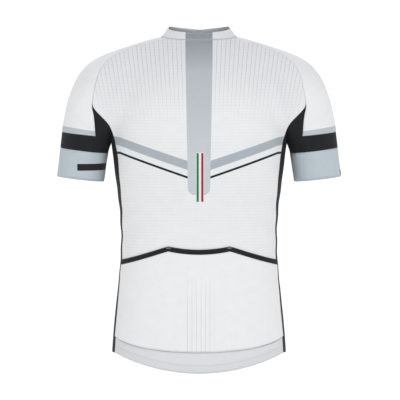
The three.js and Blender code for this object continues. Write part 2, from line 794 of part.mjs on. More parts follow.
// A closed solid from the filled cells of a grid of boxes, with its corners moved by shape
function blocks(grid, isFilled, shape) {
  const middle = (axis, i) => (grid[axis][i] + grid[axis][i + 1]) / 2;
  const isInside = (cell) => cell.every((i, axis) => i >= 0 && i < grid[axis].length - 1);
  const filled = (cell) => isInside(cell) && isFilled(...cell.map((i, axis) => middle(axis, i)));
  const points = [];
  const numbers = new Map();
  const numberOf = (corner) => {
    const key = corner.join();
    if (!numbers.has(key)) {
      numbers.set(key, points.length);
      points.push(shape(new THREE.Vector3(...corner.map((i, axis) => grid[axis][i]))));
    }
    return numbers.get(key);
  };
  const faces = [];
  const side = (cell, axis) => {
    const [b, c] = [(axis + 1) % 3, (axis + 2) % 3];
    const next = cell.map((i, k) => i - (k === axis ? 1 : 0));
    if (filled(cell) === filled(next)) return;
    const round = [[0, 0], [1, 0], [1, 1], [0, 1]].map(([stepB, stepC]) =>
      numberOf(cell.map((i, k) => i + (k === b ? stepB : 0) + (k === c ? stepC : 0))));
    const [p, q, r, t] = filled(next) ? round : round.reverse();
    faces.push(p, q, r, p, r, t);
  };
  for (let i = 0; i < grid[0].length; i += 1) {
    for (let j = 0; j < grid[1].length; j += 1) {
      for (let k = 0; k < grid[2].length; k += 1) {
        for (const axis of [0, 1, 2]) side([i, j, k], axis);
      }
    }
  }
  const geometry = new THREE.BufferGeometry().setFromPoints(points);
  geometry.setIndex(faces);
  geometry.computeVertexNormals();
  return geometry;
}

const cloth = (color, roughness) =>
  new THREE.MeshStandardMaterial({ color, roughness, metalness: 0, side: THREE.DoubleSide });
const materials = {
  white: cloth(0xeceef1, 0.75),
  black: cloth(0x1f2023, 0.7),
  grey: cloth(0xb3c0c8, 0.7),
  elastic: cloth(0xdde1e4, 0.6),
  zipTape: cloth(0xdfe2e6, 0.8),
  zipChain: cloth(0x9ea4aa, 0.45),
  zipMetal: new THREE.MeshStandardMaterial({ color: 0x3c3f44, roughness: 0.35, metalness: 0.9 }),
};

const jersey = new THREE.Group();
function addPiece(name, geometry, material) {
  const mesh = new THREE.Mesh(geometry, material);
  mesh.name = name;
  jersey.add(mesh);
  return mesh;
}
function addPair(name, rows, material, options) {
  addPiece(name + "_left", wallOf(rows, options), material);
  addPiece(name + "_right", wallOf(mirrored(rows), options), material);
}

addPiece("back_panel", wallOf(back), materials.white);
addPair("front", front, materials.white);
addPair("side_panel", relax(sidePanelRows()), materials.black);
addPair("sleeve", sleeve, materials.white);
addPair("sleeve_band", bandOver, materials.black);
addPair("gusset", gusset, materials.black);
addPair("cuff", cuff, materials.grey, { closed: true });
addPiece("collar", wallOf(collarGrid()), materials.white);
addPiece("hem_back", wallOf(hemBack), materials.elastic);
addPair("hem_front", hemFront, materials.elastic);
const overBack = { outward: pocketLift + clothWall };
addPiece("pocket_panel",
  wallOf(onBack(steps.pocket, pocketFootZ, bindingZ), overBack), materials.white);
addPiece("pocket_binding", wallOf(onBack(1, bindingZ, mouthZ), overBack), materials.black);

// The zip: two tapes, a chain up to the slider, and the slider with its hanging pull
const tapeRows = frontStrip([zipTapeInner, zipHalfWidth], collarTop);
addPair("zip_tape", tapeRows, materials.zipTape, { thickness: zipTapeWall });
const chainTop = sliderHeight - (slider.length + seamGap) / 2;
addPiece("zip_chain",
  wallOf(frontStrip([-zipChainHalf, 0, zipChainHalf], chainTop),
    { outward: zipChainProud, thickness: zipChainWall }), materials.zipChain);

// The guard: a folded tab behind the tapes, which closes the collar's front above the slider
const guardHalf = zipHalfWidth - seamGap;
const guardFoot = sliderHeight + (slider.length + seamGap) / 2;
addPiece("zip_guard",
  wallOf(frontStrip([-guardHalf, 0, guardHalf], collarTop, { lowZ: guardFoot, count: steps.guard }),
    { outward: -zipTapeWall - seamGap, thickness: zipGuardWall }), materials.grey);

// The slider's own frame: its middle on the cloth, x across, y into the cloth, z up the zip
const sliderOrigin = fromFront(0, sliderHeight);
const sliderOut = formNormal(sliderOrigin);
const sliderTilt = Math.atan2(-sliderOut.z, -sliderOut.y);
const acrossZip = new THREE.Vector3(1, 0, 0);
const ontoZip = (p) => p.applyAxisAngle(acrossZip, sliderTilt).add(sliderOrigin);

const frontPlate = slider.clear + slider.plate;
const backPlate = zipTapeWall + slider.clear + slider.plate;
const bailInner = bail.length / 2 - bail.leg;
const sliderGrid = [
  [-slider.half, -slider.postHalf, -bail.half, bail.half, slider.postHalf, slider.half],
  [-frontPlate - bail.inner - bail.crown, -frontPlate - bail.inner, -frontPlate, -slider.clear,
    backPlate - slider.plate, backPlate],
  [-slider.length / 2, -bail.length / 2, -bailInner, bailInner, bail.length / 2,
    slider.length / 2],
];
function isSliderFilled(x, y, z) {
  const isPlate = y > -frontPlate && (y < -slider.clear || y > backPlate - slider.plate);
  const isPost = y > -slider.clear && Math.abs(x) < slider.postHalf && z > bailInner;
  const isInBail = Math.abs(x) < bail.half && Math.abs(z) < bail.length / 2;
  const isCrown = y < -frontPlate - bail.inner;
  return isPlate || isPost || (y < -frontPlate && isInBail && (isCrown || Math.abs(z) > bailInner));
}
const sliderShape = (p) => ontoZip(p.setX(p.x * (1 + slider.taper * p.z)));
addPiece("zip_slider", blocks(sliderGrid, isSliderFilled, sliderShape), materials.zipMetal);

// The pull: a flat tab whose top bar passes through the bail, hanging down along the chain
const pullEnd = pullBar - pull.length;
const pullOutline = new THREE.Shape();
pullOutline.moveTo(-pull.neckHalf, pullBar);
pullOutline.lineTo(-pull.half, pullEnd + pull.half);
pullOutline.absarc(0, pullEnd + pull.half, pull.half, Math.PI, 2 * Math.PI);
pullOutline.lineTo(pull.neckHalf, pullBar);
const windowEnd = -pullBar - pull.window;
const pullWindow = new THREE.Path();
pullWindow.moveTo(-pull.windowHalf, -pullBar);
pullWindow.lineTo(-pull.windowHalf, windowEnd);
pullWindow.lineTo(pull.windowHalf, windowEnd);
pullWindow.lineTo(pull.windowHalf, -pullBar);
pullOutline.holes.push(pullWindow);
const pullGeometry = new THREE.ExtrudeGeometry(pullOutline, {
  depth: pull.thick, bevelEnabled: false, curveSegments: 10,
});
pullGeometry.translate(0, 0, -pull.thick / 2).rotateX(THREE.MathUtils.degToRad(90 - pullLean));
pullGeometry.translate(0, -frontPlate - bail.inner / 2, 0).rotateX(sliderTilt);
pullGeometry.translate(...sliderOrigin);
addPiece("zip_pull", pullGeometry, materials.zipMetal);

export default jersey;
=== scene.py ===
import math
import bpy
import numpy as np
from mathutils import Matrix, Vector
from mathutils.bvhtree import BVHTree
from mathutils.kdtree import KDTree


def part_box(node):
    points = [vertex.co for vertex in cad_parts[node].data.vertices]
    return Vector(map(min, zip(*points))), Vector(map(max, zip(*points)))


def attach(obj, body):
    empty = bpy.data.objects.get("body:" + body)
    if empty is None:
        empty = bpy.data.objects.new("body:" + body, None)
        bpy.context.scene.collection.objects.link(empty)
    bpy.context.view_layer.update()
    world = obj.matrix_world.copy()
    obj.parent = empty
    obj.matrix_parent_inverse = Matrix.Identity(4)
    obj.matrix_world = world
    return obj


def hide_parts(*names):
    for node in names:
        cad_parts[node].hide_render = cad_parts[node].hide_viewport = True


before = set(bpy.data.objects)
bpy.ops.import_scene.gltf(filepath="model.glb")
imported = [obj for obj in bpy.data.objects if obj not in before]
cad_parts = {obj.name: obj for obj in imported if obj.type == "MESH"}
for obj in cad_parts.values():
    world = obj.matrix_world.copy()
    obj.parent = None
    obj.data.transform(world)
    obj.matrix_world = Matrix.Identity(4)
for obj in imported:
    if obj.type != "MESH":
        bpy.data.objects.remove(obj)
for name in ("Cube", "Light", "Camera"):  # what a new file holds
    if name in bpy.data.objects:
        bpy.data.objects.remove(bpy.data.objects[name])
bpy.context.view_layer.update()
scene = bpy.context.scene


def linear(red, green, blue):  # a colour as seen, 0 to 255, to the shader's own scale
    parts = [value / 255 for value in (red, green, blue)]
    return tuple(p / 12.92 if p <= 0.04045 else ((p + 0.055) / 1.055) ** 2.4 for p in parts) + (1.0,)


def selectOnly(piece):
    if bpy.context.object and bpy.context.object.mode != "OBJECT":
        bpy.ops.object.mode_set(mode="OBJECT")
    bpy.ops.object.select_all(action="DESELECT")
    piece.hide_set(False)
    piece.select_set(True)
    bpy.context.view_layer.objects.active = piece


def applyModifier(piece, kind, **settings):
    selectOnly(piece)
    modifier = piece.modifiers.new(kind.title(), kind)
    for name, value in settings.items():
        setattr(modifier, name, value)
    bpy.ops.object.modifier_apply(modifier=modifier.name)


def pointsOf(piece):
    flat = np.empty(len(piece.data.vertices) * 3)
    piece.data.vertices.foreach_get("co", flat)
    return flat.reshape(-1, 3)


def setPoints(piece, points):
    piece.data.vertices.foreach_set("co", np.asarray(points, dtype=float).ravel())
    piece.data.update()


def newPiece(name, points, faces, material):
    mesh = bpy.data.meshes.new(name)
    mesh.from_pydata([tuple(p) for p in points], [], faces)
    piece = bpy.data.objects.new(name, mesh)
    scene.collection.objects.link(piece)
    mesh.materials.append(material)
    for polygon in mesh.polygons:
        polygon.use_smooth = True
    return piece


# shader helpers: a socket that takes part in sums, and a maker of nodes
class Shade:
    def __init__(self, maker, socket):
        self.maker = maker
        self.socket = socket

    def sum(self, operation, other, flipped=False):
        pair = {0: other, 1: self} if flipped else {0: self, 1: other}
        return self.maker.add("ShaderNodeMath", {"operation": operation}, pair)

    def __add__(self, other):
        return self.sum("ADD", other)

    def __radd__(self, other):
        return self.sum("ADD", other)

    def __sub__(self, other):
        return self.sum("SUBTRACT", other)

    def __rsub__(self, other):
        return self.sum("SUBTRACT", other, True)

    def __mul__(self, other):
        return self.sum("MULTIPLY", other)

    def __rmul__(self, other):
        return self.sum("MULTIPLY", other)

    def __truediv__(self, other):
        return self.sum("DIVIDE", other)

    def __abs__(self):
        return self.one("ABSOLUTE")

    def one(self, operation):
        return self.maker.add("ShaderNodeMath", {"operation": operation}, {0: self})

    def least(self, other):
        return self.sum("MINIMUM", other)

    def most(self, other):
        return self.sum("MAXIMUM", other)

    def above(self, edge, softness):  # 0 below the edge, 1 above it
        ramp = (self - edge) / softness + 0.5
        return ramp.most(0.0).least(1.0)

    def within(self, low, high, softness):
        return self.above(low, softness) * (1 - self.above(high, softness))


class ShaderMaker:
    def __init__(self, name):
        self.material = bpy.data.materials.new(name)
        self.material.use_nodes = True
        self.tree = self.material.node_tree
        self.shader = self.tree.nodes["Principled BSDF"]

    def add(self, kind, settings, inputs, output=0):
        node = self.tree.nodes.new(kind)
        for name, value in settings.items():
            setattr(node, name, value)
        for name, value in inputs.items():
            self.join(node.inputs[name], value)
        return Shade(self, node.outputs[output])

    def join(self, socket, value):
        if isinstance(value, Shade):
            self.tree.links.new(value.socket, socket)
        else:
            socket.default_value = value

    def place(self):  # the point's own place on the garment, in metres
        vector = self.add("ShaderNodeTexCoord", {}, {}, "Object")
        split = self.tree.nodes.new("ShaderNodeSeparateXYZ")
        self.tree.links.new(vector.socket, split.inputs[0])
        return [Shade(self, split.outputs[i]) for i in range(3)]

    def cut(self):  # the place on the cut cloth, in metres along and across the knit
        vector = self.add("ShaderNodeUVMap", {"uv_map": "cut"}, {})
        split = self.tree.nodes.new("ShaderNodeSeparateXYZ")
        self.tree.links.new(vector.socket, split.inputs[0])
        return [Shade(self, split.outputs[i]) for i in range(2)]

    def tint(self, share, under, over):
        return self.add("ShaderNodeMix", {"data_type": "RGBA"}, {0: share, 6: under, 7: over}, 2)

    def noise(self, scale, detail=2.0):
        vector = self.add("ShaderNodeTexCoord", {}, {}, "Object")
        inputs = {"Vector": vector, "Scale": scale, "Detail": detail}
        return self.add("ShaderNodeTexNoise", {}, inputs)

    def finish(self, color, roughness, height=None, relief=0.0002, strength=1.0, **fixed):
        self.join(self.shader.inputs["Base Color"], color)
        self.join(self.shader.inputs["Roughness"], roughness)
        for name, value in fixed.items():
            self.shader.inputs[name.replace("_", " ")].default_value = value
        if height is not None:
            bump = {"Height": height, "Distance": relief, "Strength": strength}
            normal = self.add("ShaderNodeBump", {}, bump)
            self.join(self.shader.inputs["Normal"], normal)
        return self.material


def waves(value, pitch, shape="SINE"):  # an even swing from -1 to 1, one for each pitch
    return (value * (2 * math.pi / pitch)).one(shape)


def knitHeight(maker, knit):  # columns of stitches, each with its small V
    u, v = maker.cut()
    across = (u * (math.pi / knit["wale"])).one("SINE")
    lean = abs(across) * 0.5
    rows = waves(v / knit["course"] + lean, 1)
    return abs(across) * 0.6 + rows * 0.4


knits = {  # the pitch of the stitches across and along, and how far they stand out
    "body": {"wale": 0.0014, "course": 0.0011, "relief": 0.00016,
             "ladderPitch": 0.0062, "gapPitch": 0.0031, "gapDepth": 1.2},
    "ribbed": {"wale": 0.0024, "course": 0.0012, "relief": 0.0003},
    "perforated": {"wale": 0.0015, "course": 0.0015, "relief": 0.0003, "holePitch": 0.003,
                   "roughness": 0.75, "bump": 0.7},
}
printEdge = 0.0006  # how soft a printed edge is
printColors = {
    "white": linear(229, 231, 233),
    # painted shade, greying the upper back and the sleeves
    "upperShade": linear(208, 210, 213),
    "pinstripe": linear(150, 153, 158),
    "bandTop": linear(138, 143, 150),
    "bandMiddle": linear(172, 177, 183),
    "bandLow": linear(196, 202, 207),
    "chevron": linear(168, 177, 184),
    "black": linear(28, 29, 32),
    # painted shade inside the mesh holes
    "holeShade": linear(12, 12, 13),
    "green": linear(14, 128, 78),
    "red": linear(168, 26, 46),
    "stripe": linear(184, 191, 197),
    "cuff": linear(184, 195, 202),
    "collarWhite": linear(213, 214, 217),
    "hem": linear(213, 215, 218),
    # painted shadow line along the hem's gripper edge
    "hemLine": linear(178, 182, 187),
    "collarInside": linear(206, 209, 215),
}
trimColors = {
    "tape": linear(224, 227, 231),
    "whiteThread": linear(240, 241, 243),
    "greyThread": linear(170, 176, 182),
    "blackThread": linear(45, 46, 50),
    "lacquer": linear(62, 66, 72),
    "teeth": linear(160, 165, 171),
}


clothLook = {"roughness": 0.78, "sheen": 0.12, "blackSheen": 0.03, "sheenRoughness": 0.5,
             "specular": 0.2, "bump": 0.6, "mottle": 0.06, "mottleScale": 55.0}


def clothFinish(maker, color, knit, roughness=clothLook["roughness"], sheen=clothLook["sheen"],
                ladder=0.0):
    height = knitHeight(maker, knit)
    if ladder:  # every few courses a row of open stitches
        u, v = maker.cut()
        row = waves(v, knit["ladderPitch"]).above(0.8, 0.3)
        gaps = row * waves(u, knit["gapPitch"]).above(0.1, 0.6)
        height = height - gaps * knit["gapDepth"]
        color = maker.tint(gaps * ladder, color, printColors["pinstripe"])
    mottle = clothLook["mottle"]
    shade = (1 - mottle) + maker.noise(clothLook["mottleScale"]) * mottle
    grey = maker.add("ShaderNodeCombineColor", {}, {0: shade, 1: shade, 2: shade})
    blend = {"data_type": "RGBA", "blend_type": "MULTIPLY"}
    worn = maker.add("ShaderNodeMix", blend, {0: 1.0, 6: color, 7: grey}, 2)
    return maker.finish(worn, roughness, height, knit["relief"], clothLook["bump"],
                        Sheen_Weight=sheen, Sheen_Roughness=clothLook["sheenRoughness"],
                        Specular_IOR_Level=clothLook["specular"])


# the back's print: a band down the middle, thin stripes, a chevron with a line, and a small flag, over
# painted shade that greys the back towards the collar
backPrint = {
    "bandHalfTop": 0.0275, "bandHalfLow": 0.0216, "bandNarrowZ": -0.2, "bandNarrowFade": 0.3,
    "bandEndZ": -0.317, "bandFlatHalf": 0.014,
    "middleZ": -0.14, "middleFade": 0.22, "topZ": -0.03, "topFade": 0.07,
    "shadeZ": -0.07, "shadeFade": 0.16,
    "stripePitch": 0.00765, "stripeFadeZ": -0.12, "stripeFade": 0.11, "stripeShare": 0.65,
    "dotPitch": 0.0035, "leanZ": -0.06, "leanFade": 0.3, "lean": 0.25,
    "chevronInner": 0.021, "chevronTopZ": -0.2477, "chevronTopSlope": 0.33,
    "chevronLowZ": -0.2665, "chevronLowSlope": 0.342, "chevronBendX": 0.16, "sideSlope": 0.14,
    "lineZ": -0.2817, "lineSlope": 0.346, "lineHalf": 0.0024,
    "flagTopZ": -0.231, "flagEndZ": -0.331, "flagHalf": 0.0071, "flagThird": 0.0024,
    "flagShift": 0.002, "flagBorder": 0.001,
    "ladderShare": 0.13,
}


def makeBackCloth(name):
    maker = ShaderMaker(name)
    art = backPrint
    x, y, z = maker.place()
    side = abs(x)

    # painted shade: the back turns greyer towards the collar and shoulders
    tint = z.above(art["shadeZ"], art["shadeFade"])
    color = maker.tint(tint, printColors["white"], printColors["upperShade"])
    lean = 1 - z.above(art["leanZ"], art["leanFade"]) * art["lean"]
    columns = waves(x * lean, art["stripePitch"], "COSINE")
    dots = 0.75 + waves(z, art["dotPitch"]) * 0.25
    stripes = columns.above(0.9, 0.12) * z.above(art["stripeFadeZ"], art["stripeFade"]) * dots
    color = maker.tint(stripes * art["stripeShare"], color, printColors["pinstripe"])

    outside = side.above(art["chevronInner"], printEdge)
    run = side.least(art["chevronBendX"]) - art["chevronInner"]
    beyond = (side - art["chevronBendX"]).most(0.0) * art["sideSlope"]
    top = art["chevronTopZ"] + run * art["chevronTopSlope"] + beyond
    low = art["chevronLowZ"] + run * art["chevronLowSlope"] + beyond
    chevron = (z - low).above(0.0, printEdge) * (1 - (z - top).above(0.0, printEdge)) * outside
    color = maker.tint(chevron, color, printColors["chevron"])
    line = art["lineZ"] + run * art["lineSlope"]
    black = (1 - abs(z - line).above(art["lineHalf"], printEdge)) * outside
    color = maker.tint(black, color, printColors["black"])

    narrowing = z.above(art["bandNarrowZ"], art["bandNarrowFade"])
    half = art["bandHalfLow"] + narrowing * (art["bandHalfTop"] - art["bandHalfLow"])
    chamfer = (art["bandEndZ"] - z) + (side - art["bandFlatHalf"]).most(0.0)
    band = (1 - (side - half).above(0.0, printEdge)) * (1 - chamfer.above(0.0, printEdge))
    middle = z.above(art["middleZ"], art["middleFade"])
    bandColor = maker.tint(middle, printColors["bandLow"], printColors["bandMiddle"])
    bandColor = maker.tint(z.above(art["topZ"], art["topFade"]), bandColor, printColors["bandTop"])
    color = maker.tint(band, color, bandColor)

    flagX = x + art["flagShift"]
    rim = art["flagBorder"]
    outline = z.within(art["flagEndZ"] - rim, art["flagTopZ"] + rim, printEdge)
    border = (1 - abs(flagX).above(art["flagHalf"] + rim, printEdge)) * outline
    color = maker.tint(border, color, printColors["white"])
    flagRun = z.within(art["flagEndZ"], art["flagTopZ"], printEdge)
    inFlag = (1 - abs(flagX).above(art["flagHalf"], printEdge)) * flagRun
    onGreen = flagX.above(art["flagThird"], printEdge)
    color = maker.tint(inFlag * onGreen, color, printColors["green"])
    onRed = 1 - flagX.above(-art["flagThird"], printEdge)
    color = maker.tint(inFlag * onRed, color, printColors["red"])
    return clothFinish(maker, color, knits["body"], ladder=art["ladderShare"])


# thin stripes down the middle of the pocket, fading out upwards
pocketPrint = {"pitch": 0.0092, "shift": 0.0041, "middleX": -0.003, "half": 0.0285, "edge": 0.001,
               "fadeZ": -0.51, "fade": 0.08, "share": 0.35}


def makePocketCloth(name):
    maker = ShaderMaker(name)
    art = pocketPrint
    x, y, z = maker.place()
    columns = waves(x + art["shift"], art["pitch"], "COSINE")
    inside = 1 - abs(x - art["middleX"]).above(art["half"], art["edge"])
    stripes = columns.above(0.9, 0.12) * inside * (1 - z.above(art["fadeZ"], art["fade"]))
    color = maker.tint(stripes * art["share"], printColors["white"], printColors["pinstripe"])
    return clothFinish(maker, color, knits["body"])


sleevePrint = {"edgeX": 0.285, "edgeZ": -0.193, "slope": 0.14, "high": 0.0137,
               "shadeZ": -0.06, "shadeFade": 0.12}


def makeSleeveCloth(name):  # a grey stripe just above the black band
    maker = ShaderMaker(name)
    art = sleevePrint
    x, y, z = maker.place()
    edge = art["edgeZ"] + (abs(x) - art["edgeX"]) * art["slope"]
    stripe = 1 - (z - edge).above(art["high"], printEdge)
    # painted shade: the sleeve turns greyer towards the shoulder
    tint = z.above(art["shadeZ"], art["shadeFade"])
    color = maker.tint(tint, printColors["white"], printColors["upperShade"])
    color = maker.tint(stripe, color, printColors["stripe"])
    return clothFinish(maker, color, knits["body"])


cuffPrint = {  # each cuff's dark bar: its height, where it starts and where it ends round the arm
    "left": {"lowZ": -0.2705, "topZ": -0.2565, "fromX": 0.248, "endY": -0.02},
    "right": {"lowZ": -0.281, "topZ": -0.2695, "fromX": -0.284, "endY": 0.004},
    "edgeX": 0.0008, "edgeY": 0.001, "roughness": 0.72,
}


def makeCuffCloth(name, side):
    maker = ShaderMaker(name)
    art = cuffPrint[side]
    x, y, z = maker.place()
    behind = y.above(art["endY"], cuffPrint["edgeY"])
    bar = z.within(art["lowZ"], art["topZ"], printEdge)
    bar = bar * (1 - x.above(art["fromX"], cuffPrint["edgeX"]))
    bar = bar * (behind if side == "left" else 1 - behind)
    color = maker.tint(bar, printColors["cuff"], printColors["black"])
    return clothFinish(maker, color, knits["ribbed"], cuffPrint["roughness"])


def makeCollarCloth(name):  # the back's grey band goes on up the collar
    maker = ShaderMaker(name)
    x, y, z = maker.place()
    behind = y.above(0.0, 0.01)
    centre = (1 - abs(x).above(backPrint["bandHalfTop"], printEdge)) * behind
    color = maker.tint(centre, printColors["collarWhite"], printColors["bandTop"])
    return clothFinish(maker, color, knits["body"])


def makePlainCloth(name, color, sheen=clothLook["sheen"]):
    return clothFinish(ShaderMaker(name), color, knits["body"], sheen=sheen)


def makePerforated(name):  # black knit with rows of small holes
    maker = ShaderMaker(name)
    knit = knits["perforated"]
    u, v = maker.cut()
    holes = (waves(u, knit["holePitch"]) * waves(v, knit["holePitch"])).above(0.55, 0.3)
    # painted shade: the holes are coloured darker than the black knit, for the shade inside them
    color = maker.tint(holes, printColors["black"], printColors["holeShade"])
    height = knitHeight(maker, knit) * 0.4 - holes
    return maker.finish(color, knit["roughness"], height, knit["relief"], knit["bump"],
                        Sheen_Weight=clothLook["blackSheen"],
                        Specular_IOR_Level=clothLook["specular"])


elastic = {"ribPitch": 0.0016, "rowPitch": 0.0011, "relief": 0.0002, "bump": 0.6, "sheen": 0.03,
           "roughness": 0.7, "varies": 0.1, "wear": 90.0}


def elasticFinish(maker, color, sheen=elastic["sheen"]):  # fine ribs across a woven band
    u, v = maker.cut()
    ribs = waves(u, elastic["ribPitch"]) * 0.6 + waves(v, elastic["rowPitch"]) * 0.4
    roughness = elastic["roughness"] + maker.noise(elastic["wear"]) * elastic["varies"]
    return maker.finish(color, roughness, ribs, elastic["relief"], elastic["bump"],
                        Sheen_Weight=sheen, Specular_IOR_Level=clothLook["specular"])


def makeElastic(name, color):
    return elasticFinish(ShaderMaker(name), color)


# the hem's lower edge is a curve from the middle to the sides, at the back and at the front
hemShape = {"half": 0.176, "backZ": -0.6805, "sideZ": -0.642, "frontZ": -0.63, "gripper": 0.0165,
            "lineHalf": 0.0015, "edge": 0.004, "shadowShare": 0.38, "shadeBelowShare": 0.1, "sheen": 0.1}


def makeHemElastic(name):  # the gripper's edge inside shows through as a soft painted shadow line along the hem, with faint painted shade below it
    maker = ShaderMaker(name)
    x, y, z = maker.place()
    shape = hemShape
    curve = (x * x) / shape["half"] ** 2
    behind = y.above(0.0, 0.01)
    edge = (shape["backZ"] + curve * (shape["sideZ"] - shape["backZ"])) * behind
    edge = edge + (shape["frontZ"] + curve * (shape["sideZ"] - shape["frontZ"])) * (1 - behind)
    rise = z - edge - shape["gripper"]
    # painted shadow: a soft dark line along the gripper's edge, and fainter painted shade below it
    line = (1 - abs(rise).above(shape["lineHalf"], shape["edge"])) * shape["shadowShare"]
    below = (1 - rise.above(0.0, shape["edge"])) * shape["shadeBelowShare"]
    color = maker.tint(line.most(below), printColors["hem"], printColors["hemLine"])
    return elasticFinish(maker, color, shape["sheen"])


trimLooks = {  # how rough and how much that varies, how fine the grain is and how far it stands out
    "thread": {"roughness": 0.55, "grain": 2500.0, "relief": 0.0001, "bump": 0.4, "sheen": 0.3},
    "lacquer": {"roughness": 0.3, "varies": 0.15, "grain": 900.0, "detail": 4.0, "relief": 0.00002,
                "bump": 0.4, "metallic": 0.85},
    "nylon": {"roughness": 0.38, "varies": 0.12, "wear": 700.0, "grain": 1500.0, "relief": 0.00003,
              "bump": 0.3},
}


def makeThread(name, color):
    maker = ShaderMaker(name)
    look = trimLooks["thread"]
    twist = maker.noise(look["grain"])
    return maker.finish(color, look["roughness"], twist, look["relief"], look["bump"],
                        Sheen_Weight=look["sheen"])


def makeLacquer(name, color):
    maker = ShaderMaker(name)
    look = trimLooks["lacquer"]
    scuffs = maker.noise(look["grain"], look["detail"])
    roughness = look["roughness"] + scuffs * look["varies"]
    return maker.finish(color, roughness, scuffs, look["relief"], look["bump"],
                        Metallic=look["metallic"])


def makeNylon(name, color):
    maker = ShaderMaker(name)
    look = trimLooks["nylon"]
    roughness = look["roughness"] + maker.noise(look["wear"]) * look["varies"]
    return maker.finish(color, roughness, maker.noise(look["grain"]), look["relief"], look["bump"])


finishes = {
    "back": makeBackCloth("printed back knit"),
    "white": makePlainCloth("white knit", printColors["white"]),
    "pocket": makePocketCloth("pocket knit"),
    "sleeve": makeSleeveCloth("sleeve knit"),
    "black": makePlainCloth("black knit", printColors["black"], clothLook["blackSheen"]),
    "mesh": makePerforated("black perforated knit"),
    "cuffLeft": makeCuffCloth("cuff knit with bar", "left"),
    "cuffRight": makeCuffCloth("cuff knit", "right"),
    "collar": makeCollarCloth("collar knit"),
    "collarInside": makePlainCloth("collar lining", printColors["collarInside"]),
    "elastic": makeHemElastic("hem elastic"),
    "binding": makeElastic("mouth elastic", printColors["black"]),
    "tape": makeElastic("zip tape", trimColors["tape"]),
    "whiteThread": makeThread("white thread", trimColors["whiteThread"]),
    "greyThread": makeThread("grey thread", trimColors["greyThread"]),
    "blackThread": makeThread("black thread", trimColors["blackThread"]),
    "lacquer": makeLacquer("dark slider lacquer", trimColors["lacquer"]),
    "teeth": makeNylon("zip teeth", trimColors["teeth"]),
}
print("finishes made")

# the cloth: each cut piece's outer side, made fine, folded, then given its own wall
cloth = {"wall": 0.001, "sharp": 55, "edgeDip": 0.0003, "meet": 0.0014, "merge": 0.000003}
sides = ("left", "right")
clothCuts = {  # by node: its finish, how finely it is made, and the size and area it is cut to
    "back_panel": {"name": "backCloth", "finish": "back", "levels": 3, "slot": "white_knit",
                   "flat": (0.45, 0.64), "area": 0.2472},
    "front": {"name": "frontCloth", "finish": "white", "levels": 2, "slot": "white_knit",
              "flat": (0.22, 0.6), "area": 0.1105, "sides": sides},
    "side_panel": {"name": "sideCloth", "finish": "mesh", "levels": 2, "slot": "black_knit",
                   "flat": (0.09, 0.44), "area": 0.0303, "sides": sides},
    "sleeve": {"name": "sleeveCloth", "finish": "sleeve", "levels": 2, "slot": "white_knit",
               "flat": (0.2, 0.3), "area": 0.0352, "sides": sides},
    "sleeve_band": {"name": "bandCloth", "finish": "black", "levels": 2, "slot": "black_knit",
                    "flat": (0.215, 0.034), "area": 0.0069, "sides": sides},
    "gusset": {"name": "gussetCloth", "finish": "black", "levels": 2, "slot": "black_knit",
               "flat": (0.19, 0.1), "area": 0.0075, "sides": sides},
    "cuff": {"name": "cuffCloth", "finish": "cuff", "levels": 2, "slot": "grey_knit",
             "flat": (0.325, 0.06), "area": 0.0193, "sides": sides},
    "collar": {"name": "collarCloth", "finish": "collar", "lining": "collarInside", "levels": 2,
               "slot": "white_knit", "flat": (0.43, 0.03), "area": 0.0108},
    "hem_back": {"name": "hemBand", "finish": "elastic", "levels": 2, "slot": "elastic",
                 "flat": (0.375, 0.042), "area": 0.0146},
    "hem_front": {"name": "hemBandFront", "finish": "elastic", "levels": 2, "slot": "elastic",
                  "flat": (0.19, 0.036), "area": 0.0065, "sides": sides},
    "pocket_panel": {"name": "pocketCloth", "finish": "pocket", "levels": 3, "slot": "white_knit",
                     "flat": (0.37, 0.205), "area": 0.0687},
    "pocket_binding": {"name": "pocketBinding", "finish": "binding", "levels": 3,
                       "slot": "black_knit", "flat": (0.365, 0.0105), "area": 0.0038},
    "zip_tape": {"name": "zipTape", "finish": "tape", "levels": 2, "slot": "zip_tape",
                 "flat": (0.01, 0.62), "area": 0.0041, "sides": sides},
    "zip_guard": {"name": "zipGuard", "finish": "collarInside", "levels": 2, "slot": "grey_knit",
                  "sewnTo": "collar"},
}
clothPieces = {}
for node, entry in clothCuts.items():
    if "sides" not in entry:
        clothPieces[node] = entry
        continue
    for side in entry["sides"]:
        ownFinish = entry["finish"] + side.title()  # a cuff's print differs from side to side
        clothPieces[f"{node}_{side}"] = {
            **entry, "name": entry["name"] + side.title(),
            "finish": ownFinish if ownFinish in finishes else entry["finish"]}
armLine = [(0.06, -0.045), (0.192, -0.115), (0.225, -0.19), (0.246, -0.31)]  # x, z along the arm
armWay = (0.574, -0.819)  # the sleeve's knit runs this way in x and z
onArm = ("sleeve", "gusset", "cuff")


def armPlace(points):  # each point's way from the arm's line, and how far above the line it is
    found = np.full(len(points), np.inf)
    away = np.zeros((len(points), 4))
    side = np.sign(points[:, 0])
    for (ax, az), (bx, bz) in zip(armLine, armLine[1:]):
        dx, dz = bx - ax, bz - az
        reach = math.hypot(dx, dz)
        ahead = ((np.abs(points[:, 0]) - ax) * dx + (points[:, 2] - az) * dz) / reach
        held = np.clip(ahead, 0, reach)
        offX = np.abs(points[:, 0]) - ax - dx * held / reach
        offZ = points[:, 2] - az - dz * held / reach
        distance = np.hypot(offX, offZ)
        up = np.copysign(distance, offZ * dx - offX * dz)
        nearer = distance < found
        found[nearer] = distance[nearer]
        away[nearer] = np.stack([side * offX, points[:, 1], offZ, up], axis=1)[nearer]
    return away


def wayOut(points, isArm):  # a point's rough way out of the garment
    if isArm:
        return armPlace(points)[:, :3]
    return points * (1, 1, 0)


def copyNode(node, name):  # a copy of a CAD solid, with its loose triangles joined
    selectOnly(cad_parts[node])
    bpy.ops.object.duplicate()
    piece = bpy.context.object
    piece.name = name
    piece.data.name = name
    selectOnly(piece)
    bpy.ops.object.mode_set(mode="EDIT")
    bpy.ops.mesh.select_all(action="SELECT")
    bpy.ops.mesh.remove_doubles(threshold=cloth["merge"])
    bpy.ops.object.mode_set(mode="OBJECT")
    return piece


